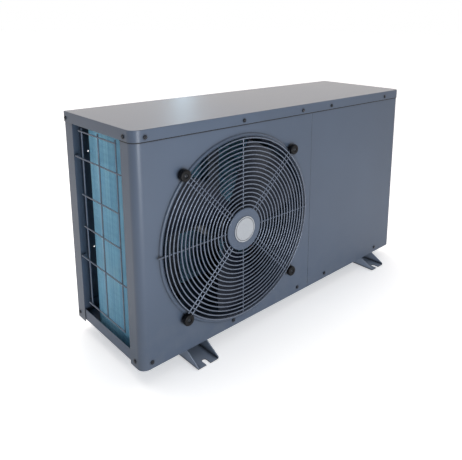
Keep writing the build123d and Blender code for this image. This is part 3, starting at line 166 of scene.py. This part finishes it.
def powder_coat(name, colour, worn, rough):
    finish = new_finish(name)
    rounded, edges = soft_edges(finish, 0.0012)
    painted_shade_mask = ramp(finish, crevices(finish, 0.010), 0.55, 0.95)
    cloud = grain(finish, 0.35, 3.0)
    peel = grain(finish, 0.0022, 1.5)
    speck = ramp(finish, grain(finish, 0.006, 4.0), 0.70, 0.78)
    chips = ramp(finish, grain(finish, 0.012, 5.0), 0.45, 0.62)
    place = finish.node("TexCoord", output="Object")
    height = finish.node("SeparateXYZ", None, {"Vector": place}, output=2)
    splash = ramp(finish, height, 0.16, 0.03) * ramp(finish, grain(finish, 0.03, 6.0), 0.40, 0.75)
    dark = tuple(0.88 * part for part in colour)
    base = tint(finish, (*dark, 1.0), (*colour, 1.0), ramp(finish, cloud, 0.35, 0.65))
    base = tint(finish, base, (*worn, 1.0), edges * (0.25 + 0.45 * chips))
    base = tint(finish, base, (0.30, 0.29, 0.27, 1.0), splash * 0.10 + speck * 0.03)
    # The coat is darkened to near black in crevices and gaps: painted shade.
    base = tint(finish, (0.010, 0.012, 0.016, 1.0), base, painted_shade_mask)
    return close_finish(
        finish, Base_Color=base, Roughness=rough + 0.07 * cloud + 0.10 * splash + 0.08 * speck,
        Normal=bumps(finish, peel, 0.00006, rounded), IOR=1.5, Specular_IOR_Level=0.5)


dress(powder_coat("slate_powder_coat", (0.074, 0.102, 0.152), (0.20, 0.23, 0.29), 0.33),
      "top_cover", "fan_panel", "service_panel", "end_panel", "rear_post", "guard_hub_disc")
dress(powder_coat("slate_powder_coat_pan", (0.078, 0.110, 0.170), (0.16, 0.18, 0.22), 0.40), "base_pan")
# The duct ring takes a much darker copy of the slate coat: painted shade inside the case.
dress(powder_coat("slate_powder_coat_duct_painted_shade", (0.022, 0.032, 0.056), (0.10, 0.11, 0.14), 0.42), "fan_duct")
# The feet take a much lighter copy of the slate coat: painted light.
dress(powder_coat("slate_powder_coat_feet_painted_light", (0.25, 0.30, 0.385), (0.26, 0.28, 0.31), 0.36),
      "foot_rail_left", "foot_rail_right")


# ---------------------------------------------------------------- lip shadow strip
# A painted shadow line: a thin black strip under the cover's lip, a little proud of the panels below.
# It runs from the left corner along the front, the right end and the rear to the coil.
shadow_strip_side, shadow_strip_front = 0.4665, 0.1485          # outer faces of the panels, from the middle of the case
shadow_strip_foot, shadow_strip_top = 0.5240, 0.5259
shadow_strip_depth = 0.0013
shadow_strip_slope = 0.0003                             # rise of the lower face to its outer edge
shadow_strip_left_end, shadow_strip_rear_end = -0.102, 0.072    # rear edge of the left wrap, and edge of the rear panel
shadow_strip_corners = (                                # middle and radius of a corner, and where it starts to turn
    ((-0.448, -0.130), 0.0198, 180), ((0.448, -0.130), 0.0198, 270), ((0.465, 0.147), 0.0028, 0))
bend_steps = 8


def shadow_strip_path(inset):
    """Corner points of the strip seen from above, drawn in from its outer edge."""
    side, front = shadow_strip_side + shadow_strip_depth - inset, shadow_strip_front + shadow_strip_depth - inset
    points = [(-side, shadow_strip_left_end)]
    for middle, radius, first_turn in shadow_strip_corners:
        bend = radius - inset
        for step in range(bend_steps + 1):
            turn = math.radians(first_turn + 90 * step / bend_steps)
            points.append((middle[0] + bend * math.cos(turn), middle[1] + bend * math.sin(turn)))
    return points + [(shadow_strip_rear_end, front)]


def mesh_piece(name, form):
    """Makes an object in the scene from a built-up form, with its faces turned outwards."""
    bmesh.ops.recalc_face_normals(form, faces=form.faces)
    mesh = bpy.data.meshes.new(name)
    form.to_mesh(mesh)
    form.free()
    piece = bpy.data.objects.new(name, mesh)
    bpy.context.scene.collection.objects.link(piece)
    return piece


strip = bmesh.new()
rows = []
for outer, inner in zip(shadow_strip_path(0.0), shadow_strip_path(shadow_strip_depth)):
    section = ((outer, shadow_strip_foot + shadow_strip_slope), (outer, shadow_strip_top), (inner, shadow_strip_top), (inner, shadow_strip_foot))
    rows.append([strip.verts.new((*place, z)) for place, z in section])
for first, second in zip(rows, rows[1:]):
    for corner in range(4):
        strip.faces.new((first[corner], first[corner - 1], second[corner - 1], second[corner]))
strip.faces.new(rows[0])
strip.faces.new(rows[-1][::-1])
lip_shadow_strip = mesh_piece("lip_shadow_strip", strip)
# The strip's near-black colour is a painted shadow line under the cover's lip.
finish = new_finish("painted_lip_shadow")
cells = grain(finish, 0.0006, 3.0)
lip_shadow_strip.data.materials.append(close_finish(
    finish, Base_Color=tint(finish, (0.004, 0.004, 0.005, 1.0), (0.012, 0.012, 0.014, 1.0), cells),
    Roughness=0.85 + 0.10 * cells,
    Normal=bumps(finish, cells, 0.0001, finish.node("NewGeometry", output="Normal"))))
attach(lip_shadow_strip, "case")


# ---------------------------------------------------------------- wire guards
# The fan guard is seventeen rings welded to spokes, and the coil has a welded grid on two sides.
# All are drawn steel wire with a thin grey dip coat that pools a little along each wire.
def wire_coat(name, colour, rough):
    finish = new_finish(name)
    cloud = grain(finish, 0.05, 3.0)
    runs = grain(finish, 0.004, 3.0)
    bare = ramp(finish, grain(finish, 0.01, 5.0), 0.66, 0.76)
    base = tint(finish, (*(0.8 * part for part in colour), 1.0), (*colour, 1.0), cloud)
    base = tint(finish, base, (0.30, 0.29, 0.27, 1.0), bare * 0.25)
    flat = finish.node("NewGeometry", output="Normal")
    return close_finish(
        finish, Base_Color=base, Roughness=rough + 0.12 * runs, Normal=bumps(finish, runs, 0.00008, flat),
        Metallic=0.35)


dress(wire_coat("grey_wire_coat", (0.17, 0.20, 0.26), 0.20), "guard_rings", "guard_spokes")
# The side and rear grids take a darker copy of the same wire coat: painted shade.
dress(wire_coat("slate_wire_coat_painted_shade", (0.13, 0.16, 0.22), 0.32), "side_guard", "rear_guard")


# ---------------------------------------------------------------- guard caps, badge and screws
# Four black moulded caps hold the guard, each on a pan-head screw. A plain silver disc with a thin
# ring is stuck on the guard's middle. The case screws are zinc-plated, near black, with a few rust spots.
def moulded_plastic(name, colour, rough, dust=0.06, shine=0.5):
    finish = new_finish(name)
    rounded, edges = soft_edges(finish, 0.0008)
    spark = grain(finish, 0.0006, 2.0)
    cloud = grain(finish, 0.02, 4.0)
    pale = tuple(0.12 + 0.8 * part for part in colour)
    base = tint(finish, (*colour, 1.0), (*pale, 1.0), edges * 0.35 + dust * ramp(finish, cloud, 0.45, 0.8))
    return close_finish(
        finish, Base_Color=base, Roughness=rough + 0.10 * cloud, Specular_IOR_Level=shine,
        Normal=bumps(finish, spark, 0.00003, rounded))


def plated_steel(name, colour, rough, rust=0.10):
    finish = new_finish(name)
    rounded, edges = soft_edges(finish, 0.0005)
    cloud = grain(finish, 0.004, 4.0)
    spots = ramp(finish, grain(finish, 0.002, 5.0), 0.60, 0.75)
    base = tint(finish, (*(0.7 * part for part in colour), 1.0), (*colour, 1.0), cloud)
    base = tint(finish, base, (0.22, 0.11, 0.05, 1.0), spots * rust)
    base = tint(finish, base, (0.75, 0.75, 0.76, 1.0), edges * 0.4)
    return close_finish(
        finish, Base_Color=base, Metallic=1.0 - 0.6 * rust * spots, Roughness=rough + 0.25 * cloud,
        Normal=bumps(finish, cloud, 0.00003, rounded))


dress(moulded_plastic("black_moulding", (0.004, 0.004, 0.005), 0.34, 0.01, 0.22),
      "guard_caps", "cable_glands", "control_tray", "drain_nipple", "compressor_cover")
dress(plated_steel("dull_zinc", (0.05, 0.055, 0.065), 0.24, 0.10), "case_screws", "foot_bolts")
dress(plated_steel("bright_zinc", (0.55, 0.55, 0.54), 0.22),
      "fan_nut", "fan_shaft", "motor_bearings", "window_pin")

badge_low, badge_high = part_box("hub_badge")
badge_middle = (badge_low + badge_high) / 2
finish = new_finish("badge_silver")
rounded, _ = soft_edges(finish, 0.0006)
place = finish.node("TexCoord", output="Object")
place = finish.node("VectorMath", {"operation": "SUBTRACT"}, {0: place, 1: tuple(badge_middle)})
place = finish.node("VectorMath", {"operation": "MULTIPLY"}, {0: place, 1: (1.0, 0.0, 1.0)})
reach = finish.node("VectorMath", {"operation": "LENGTH"}, {0: place}, output="Value")
border = ramp(finish, reach, 0.0266, 0.0270) * ramp(finish, reach, 0.0284, 0.0280)
lines = finish.node("TexNoise", {"noise_dimensions": "1D"}, {"W": reach * 900.0, "Detail": 3.0})
base = tint(finish, (0.34, 0.36, 0.385, 1.0), (0.43, 0.45, 0.475, 1.0), lines)
base = tint(finish, base, (0.07, 0.075, 0.085, 1.0), border)
dress(close_finish(
    finish, Base_Color=base, Metallic=0.25, Roughness=0.26 + 0.10 * lines,
    Normal=bumps(finish, lines, 0.00002, rounded), Coat_Weight=0.2, Coat_Roughness=0.08), "hub_badge")

# ---------------------------------------------------------------- fan
# One dark moulding of three swept blades on a hub, held on the shaft by a nut. The motor behind it
# is a painted steel can on two galvanised rails, with the rotor and the stator inside.
dress(moulded_plastic("dark_fan_moulding", (0.009, 0.013, 0.024), 0.34, 0.02, 0.3), "fan_blade")
dress(powder_coat("motor_paint", (0.16, 0.165, 0.17), (0.30, 0.30, 0.30), 0.38), "fan_motor", "motor_rotor")


def galvanised_sheet_painted_shade(name, colour):
    finish = new_finish(name)
    rounded, edges = soft_edges(finish, 0.001)
    place = finish.node("TexCoord", output="Object")
    cells = finish.node("TexVoronoi", {"feature": "F1"}, {"Vector": place, "Scale": 140.0}, output="Color")
    spangle = finish.node("RGBToBW", None, {"Color": cells})
    cloud = grain(finish, 0.08, 3.0)
    dark = tuple(0.72 * part for part in colour)
    base = tint(finish, (*dark, 1.0), (*colour, 1.0), spangle * 0.7 + cloud * 0.3)
    base = tint(finish, base, (0.75, 0.75, 0.76, 1.0), edges * 0.4)
    return close_finish(
        finish, Base_Color=base, Metallic=0.9, Roughness=0.30 + 0.22 * spangle,
        Normal=bumps(finish, spangle, 0.00002, rounded))


# The galvanised parts take a very dark tone: painted shade for the dark inside of the case.
dress(galvanised_sheet_painted_shade("galvanised_sheet_painted_shade", (0.12, 0.14, 0.17)),
      "motor_bracket", "partition", "electric_box", "electric_cover", "coil_end_plates")

finish = new_finish("stator_laminations")
laminations = finish.node("TexWave", {"bands_direction": "Y"}, {
    "Vector": finish.node("TexCoord", output="Object"), "Scale": 160.0, "Distortion": 0.2})
cloud = grain(finish, 0.01, 3.0)
flat = finish.node("NewGeometry", output="Normal")
base = tint(finish, (0.16, 0.16, 0.17, 1.0), (0.36, 0.36, 0.37, 1.0), laminations * 0.6 + cloud * 0.4)
dress(close_finish(
    finish, Base_Color=base, Metallic=0.8, Roughness=0.38 + 0.15 * cloud,
    Normal=bumps(finish, laminations, 0.0002, flat)), "motor_stator")

# ---------------------------------------------------------------- air coil
# Hundreds of thin folded aluminium fins with a pale blue coat stand on two rows of copper tube and
# follow it round the rear corner. Copper return bends and a header close the circuit at the two ends.
coil_low, coil_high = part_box("coil_fins")
coil_depth = 0.036
coil_bend = 0.075
fin_pitch = 0.0021
fin_half = 0.00024
fin_lean = 0.0004              # how far a handled fin's front edge is bent aside
coil_rows = (0.009, 0.027)
fin_wave = 0.0017              # side shift of a fin's folds, so that no light passes straight through
fin_folds = ((0.0, 0.0), (0.009, fin_wave), (0.018, 0.0), (0.027, fin_wave), (coil_depth, 0.0))
side_run = coil_high.y - coil_bend - coil_low.y
rear_run = coil_high.x - coil_low.x - coil_bend
bend_run = math.pi / 2 * (coil_bend - coil_depth / 2)
bend_middle = Vector((coil_low.x + coil_bend, coil_high.y - coil_bend, 0.0))


def coil_station(run, depth):
    """Point on the coil's plan, run along it from the front end and depth in from its outer face."""
    if run < side_run:
        return Vector((coil_low.x + depth, coil_low.y + run, 0.0))
    if run < side_run + bend_run:
        turn = (run - side_run) / bend_run * math.pi / 2
        return bend_middle + (coil_bend - depth) * Vector((-math.cos(turn), math.sin(turn), 0.0))
    return Vector((bend_middle.x + run - side_run - bend_run, coil_high.y - depth, 0.0))


def coil_direction(run):
    """Direction in which the coil's middle line goes at this run."""
    turn = min(max((run - side_run) / bend_run, 0.0), 1.0) * math.pi / 2
    return Vector((math.sin(turn), math.cos(turn), 0.0))


coil_run = side_run + bend_run + rear_run
fin_count = int(coil_run / fin_pitch)
dents = random.Random(7)
fins = bmesh.new()
for place in range(fin_count + 1):
    run = min(max(place * coil_run / fin_count, fin_half), coil_run - fin_half - fin_wave)
    along = coil_direction(run)
    lean = dents.uniform(-fin_lean, fin_lean) if 0 < place < fin_count else 0.0
    walls = []
    for side in (-1, 1):
        for z in (coil_low.z, coil_high.z):
            walls.append([])
            for depth, fold in fin_folds:
                shift = side * fin_half + fold + (lean if depth == 0.0 else 0.0)
                spot = coil_station(run, depth) + along * shift + Vector((0, 0, z))
                walls[-1].append(fins.verts.new(spot))
    near_low, near_high, far_low, far_high = walls
    ring = (near_low, near_high, far_high, far_low)
    for first, second in zip(ring, ring[1:] + ring[:1]):
        for fold in range(len(fin_folds) - 1):
            fins.faces.new((first[fold], first[fold + 1], second[fold + 1], second[fold]))
    for end in (0, -1):
        fins.faces.new((near_low[end], near_high[end], far_high[end], far_low[end]))
fin_stack = mesh_piece("coil_fin_stack", fins)

finish = new_finish("blue_fin_coat")
streaks = grain(finish, 0.006, 3.0, (1.0, 1.0, 0.02))
patches = grain(finish, 0.06, 3.0, (1.0, 1.0, 0.35))
louvres = finish.node("TexWave", {"bands_direction": "Z"},
                      {"Vector": finish.node("TexCoord", output="Object"), "Scale": 19.7})
base = tint(finish, (0.27, 0.60, 0.80, 1.0), (0.50, 0.84, 0.98, 1.0), ramp(finish, streaks, 0.25, 0.75))
base = tint(finish, base, (0.64, 0.86, 0.94, 1.0), ramp(finish, patches, 0.50, 0.80) * 0.35)
fin_stack.data.materials.append(close_finish(
    finish, Base_Color=base, Metallic=0.15, Roughness=0.35 + 0.15 * streaks,
    Normal=bumps(finish, louvres, 0.0004, finish.node("NewGeometry", output="Normal"))))
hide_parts("coil_fins")
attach(fin_stack, "case")

tube_radius = 0.0048
tube_pitch, tube_levels, lowest_tube = 0.025, 20, 0.012
runs = bpy.data.curves.new("coil_tube_runs", "CURVE")
runs.dimensions = "3D"
runs.bevel_depth = tube_radius
runs.bevel_resolution = 2
runs.use_fill_caps = True
bend_stations = [side_run + bend_run * step / bend_steps for step in range(bend_steps + 1)]
stations = [0.0, *bend_stations, coil_run]
for level in range(tube_levels):
    rise = Vector((0, 0, coil_low.z + lowest_tube + tube_pitch * level))
    for depth in coil_rows:
        line = runs.splines.new("POLY")
        line.points.add(len(stations) - 1)
        for point, run in zip(line.points, stations):
            point.co = (*(coil_station(run, depth) + rise), 1.0)
tube_runs = bpy.data.objects.new("coil_tube_runs", runs)
bpy.context.scene.collection.objects.link(tube_runs)


def warm_metal(name, colour, aged, rough):
    finish = new_finish(name)
    rounded, _ = soft_edges(finish, 0.0005)
    cloud = grain(finish, 0.02, 5.0)
    spots = ramp(finish, grain(finish, 0.005, 5.0), 0.55, 0.75)
    base = tint(finish, (*colour, 1.0), (*aged, 1.0), ramp(finish, cloud, 0.35, 0.7) * 0.7 + spots * 0.2)
    return close_finish(
        finish, Base_Color=base, Metallic=0.95, Roughness=rough + 0.22 * cloud,
        Normal=bumps(finish, cloud, 0.00003, rounded))


tube_runs.data.materials.append(warm_metal("fin_collars", (0.14, 0.32, 0.43), (0.22, 0.20, 0.19), 0.40))
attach(tube_runs, "case")
dress(warm_metal("drawn_copper", (0.78, 0.38, 0.24), (0.34, 0.15, 0.09), 0.24),
      "coil_tubes", "refrigerant_pipes")

# ---------------------------------------------------------------- compressor side
# The compressor and the accumulator are welded steel shells in black enamel, on rubber feet. The
# reversing and expansion valves are brass, and the terminal cover is a black moulding.
dress(warm_metal("cast_brass", (0.74, 0.56, 0.26), (0.40, 0.28, 0.11), 0.28),
      "reversing_valve", "expansion_valve")
dress(powder_coat("black_enamel", (0.010, 0.010, 0.011), (0.06, 0.06, 0.06), 0.20),
      "compressor", "accumulator")
dress(moulded_plastic("black_rubber", (0.018, 0.018, 0.018), 0.62, 0.10),
      "compressor_mounts", "support_blocks")

# ---------------------------------------------------------------- water exchanger and its connections
# The tank and its caps are grey moulded PVC around a titanium coil. Two sockets leave through the end
# panel with union nuts, and a paddle switch sits on the inlet.
dress(moulded_plastic("grey_pvc", (0.100, 0.105, 0.115), 0.34, 0.10),
      "exchanger_shell", "exchanger_caps", "water_fittings", "pipe_sockets")
dress(moulded_plastic("black_union_nut", (0.020, 0.020, 0.022), 0.40), "union_nuts", "flow_switch")
dress(plated_steel("titanium_tube", (0.50, 0.48, 0.45), 0.30, 0.02), "exchanger_coil")

# ---------------------------------------------------------------- electrics
# The board is green glass-fibre laminate with its relays and capacitors, and the terminal strip is a
# cream moulding beside it.
finish = new_finish("board_laminate")
rounded, edges = soft_edges(finish, 0.0004)
tracks = finish.node("TexBrick", {"offset": 0.5}, {
    "Vector": finish.node("TexCoord", output="Object"), "Scale": 90.0, "Mortar Size": 0.08,
    "Color1": (0.02, 0.16, 0.07, 1.0), "Color2": (0.03, 0.22, 0.10, 1.0),
    "Mortar": (0.06, 0.32, 0.15, 1.0)})
weave = grain(finish, 0.0008, 2.0)
base = tint(finish, tracks, (0.25, 0.32, 0.26, 1.0), edges * 0.3)
dress(close_finish(finish, Base_Color=base, Roughness=0.32 + 0.15 * weave,
                   Normal=bumps(finish, weave, 0.00003, rounded)), "control_board")
dress(moulded_plastic("cream_moulding", (0.55, 0.52, 0.42), 0.42, 0.10), "terminal_block")

# ---------------------------------------------------------------- controller
# A matt key plate with a dark display and four silver keys lies in a tray in the end panel. The
# display's lit bars show a water temperature. A smoked window hangs over it on a steel pin.
dress(moulded_plastic("matt_key_plate", (0.035, 0.038, 0.042), 0.48), "key_plate")
dress(moulded_plastic("silver_keys", (0.42, 0.44, 0.47), 0.34, 0.10), "key_1", "key_2", "key_3", "key_4")

finish = new_finish("display_glass")
haze = grain(finish, 0.02, 3.0)
base = tint(finish, (0.006, 0.009, 0.012, 1.0), (0.016, 0.020, 0.026, 1.0), haze)
dress(close_finish(finish, Base_Color=base, Roughness=0.06 + 0.05 * haze, Coat_Weight=0.6,
                   Coat_Roughness=0.03), "control_display")

display_low, display_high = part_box("control_display")
digit_wide, digit_tall, digit_step = 0.0085, 0.0175, 0.0170
bar_half, bar_gap, bar_rise = 0.0009, 0.0003, 0.0002
point_gap, point_wide = 0.0028, 0.0030
digit_corners = [Vector(corner) for corner in (
    (0, 0), (digit_wide, 0), (0, digit_tall / 2), (digit_wide, digit_tall / 2), (0, digit_tall),
    (digit_wide, digit_tall))]
bars = {"top": (4, 5), "high_left": (2, 4), "high_right": (3, 5), "middle": (2, 3), "low_left": (0, 2),
        "low_right": (1, 3), "bottom": (0, 1)}
unlit = (("high_left", "low_right"), (), ("high_right", "low_left"))
lamps = bmesh.new()


def lit_bar(start, end):
    """One bar of a digit, pointed at both ends, between two places on the display's face."""
    along = (end - start).normalized()
    across = Vector((-along.y, along.x))
    start, end = start + along * bar_gap, end - along * bar_gap
    edge = [start, start + (along + across) * bar_half, end + (across - along) * bar_half, end,
            end - (along + across) * bar_half, start + (along - across) * bar_half]
    back, face = [[lamps.verts.new((display_high.x + rise, *spot)) for spot in edge]
                  for rise in (0.0, bar_rise)]
    lamps.faces.new(face)
    lamps.faces.new(back[::-1])
    for corner in range(6):
        lamps.faces.new((back[corner - 1], back[corner], face[corner], face[corner - 1]))


origin = Vector(((display_low.y + display_high.y) / 2 - digit_step - digit_wide / 2,
                 (display_low.z + display_high.z) / 2 - digit_tall / 2))
for digit, dark_bars in enumerate(unlit):
    first = origin + Vector((digit * digit_step, 0))
    for name, (start, end) in bars.items():
        if name not in dark_bars:
            lit_bar(first + digit_corners[start], first + digit_corners[end])
point = origin + Vector((digit_step + digit_wide + point_gap, 0))
lit_bar(point, point + Vector((point_wide, 0)))
digits = mesh_piece("display_digits", lamps)
finish = new_finish("lit_bars")
glow = tint(finish, (0.55, 0.85, 1.0, 1.0), (0.70, 0.93, 1.0, 1.0), grain(finish, 0.002, 2.0))
digits.data.materials.append(close_finish(
    finish, Base_Color=glow, Roughness=0.4, Emission_Color=glow, Emission_Strength=1.6))
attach(digits, "case")

finish = new_finish("smoked_window")
haze = grain(finish, 0.03, 4.0)
scuffs = ramp(finish, grain(finish, 0.002, 3.0, (1.0, 0.1, 1.0)), 0.62, 0.75)
base = tint(finish, (0.015, 0.018, 0.022, 1.0), (0.035, 0.040, 0.046, 1.0), haze)
dress(close_finish(finish, Base_Color=base, Roughness=0.05 + 0.06 * haze + 0.2 * scuffs,
                   Alpha=0.36 + 0.10 * scuffs, IOR=1.49), "control_window")

# ---------------------------------------------------------------- floor, light and camera
# A wide pale floor runs into a white surround. Both look brighter than the light that they cast, and the
# surround's light grows from dim at the front left to bright at the back right. Three soft lamps help.
floor_mesh = bpy.data.meshes.new("floor")
floor_mesh.from_pydata([(-30, -30, 0), (30, -30, 0), (30, 30, 0), (-30, 30, 0)], [], [(0, 1, 2, 3)])
floor = bpy.data.objects.new("floor", floor_mesh)
floor.location.z = cad_box[0].z - 0.0004
bpy.context.scene.collection.objects.link(floor)
finish = new_finish("pale_floor")
dapple = grain(finish, 2.0, 2.0)
floor.data.materials.append(close_finish(
    finish, Base_Color=tint(finish, (0.90, 0.90, 0.90, 1.0), (0.93, 0.93, 0.93, 1.0), dapple),
    Roughness=0.9, Emission_Strength=0.45,
    Emission_Color=tint(finish, (0.25, 0.25, 0.25, 1.0), (1.0, 1.0, 1.0, 1.0),
                        finish.node("LightPath", output="Is Camera Ray"))))

world = bpy.data.worlds.new("studio")
world.use_nodes = True
world.node_tree.nodes.clear()
sky = Shade(world.node_tree)
toward = sky.node("TexCoord", output="Generated")
back_right = (0.74, 0.65, 0.15)
turned = sky.node("VectorMath", {"operation": "DOT_PRODUCT"}, {0: toward, 1: back_right}, output="Value")
lit = tint(sky, (0.17, 0.20, 0.24, 1.0), (1.46, 1.36, 1.27, 1.0), ramp(sky, turned, -0.3, 0.9))
seen = tint(sky, lit, (1.0, 1.0, 1.0, 1.0), sky.node("LightPath", output="Is Camera Ray"))
backdrop = sky.node("Background", None, {"Color": seen, "Strength": 1.0})
world_output = world.node_tree.nodes.new("ShaderNodeOutputWorld")
world.node_tree.links.new(backdrop.socket, world_output.inputs["Surface"])
bpy.context.scene.world = world
bpy.context.scene.view_settings.view_transform = "Standard"


def soft_light(name, spot, aim, size, power, colour):
    lamp = bpy.data.lights.new(name, "AREA")
    lamp.shape = "RECTANGLE"
    lamp.size, lamp.size_y = size
    lamp.energy = power
    lamp.color = colour
    holder = bpy.data.objects.new(name, lamp)
    holder.location = spot
    holder.rotation_euler = (Vector(aim) - Vector(spot)).to_track_quat("-Z", "Y").to_euler()
    bpy.context.scene.collection.objects.link(holder)


soft_light("overhead", (-0.1, 1.1, 3.1), (-0.1, 0.1, 0.5), (3.0, 2.4), 44.0, (1.0, 0.96, 0.92))
soft_light("left_front", (-0.55, -1.7, 0.4), (-0.45, -0.15, 0.15), (0.8, 0.6), 16.0, (0.93, 0.96, 1.0))
soft_light("rear_strip", (1.49, 2.46, 1.15), (-0.216, 0.04, 0.55), (0.10, 0.9), 1.1, (0.52, 0.80, 1.0))

camera_lens = bpy.data.cameras.new("camera")
camera_lens.sensor_width = 36.0
camera_lens.lens = 39.673
camera_lens.shift_x = -0.07445
camera_lens.shift_y = -0.21645
camera_lens.clip_end = 200.0
camera = bpy.data.objects.new("camera", camera_lens)
camera.location = (-0.9386, -0.9860, 0.7542)
camera.rotation_euler = [math.radians(turn) for turn in (77.917, -0.597, -44.368)]
bpy.context.scene.collection.objects.link(camera)
bpy.context.scene.camera = camera
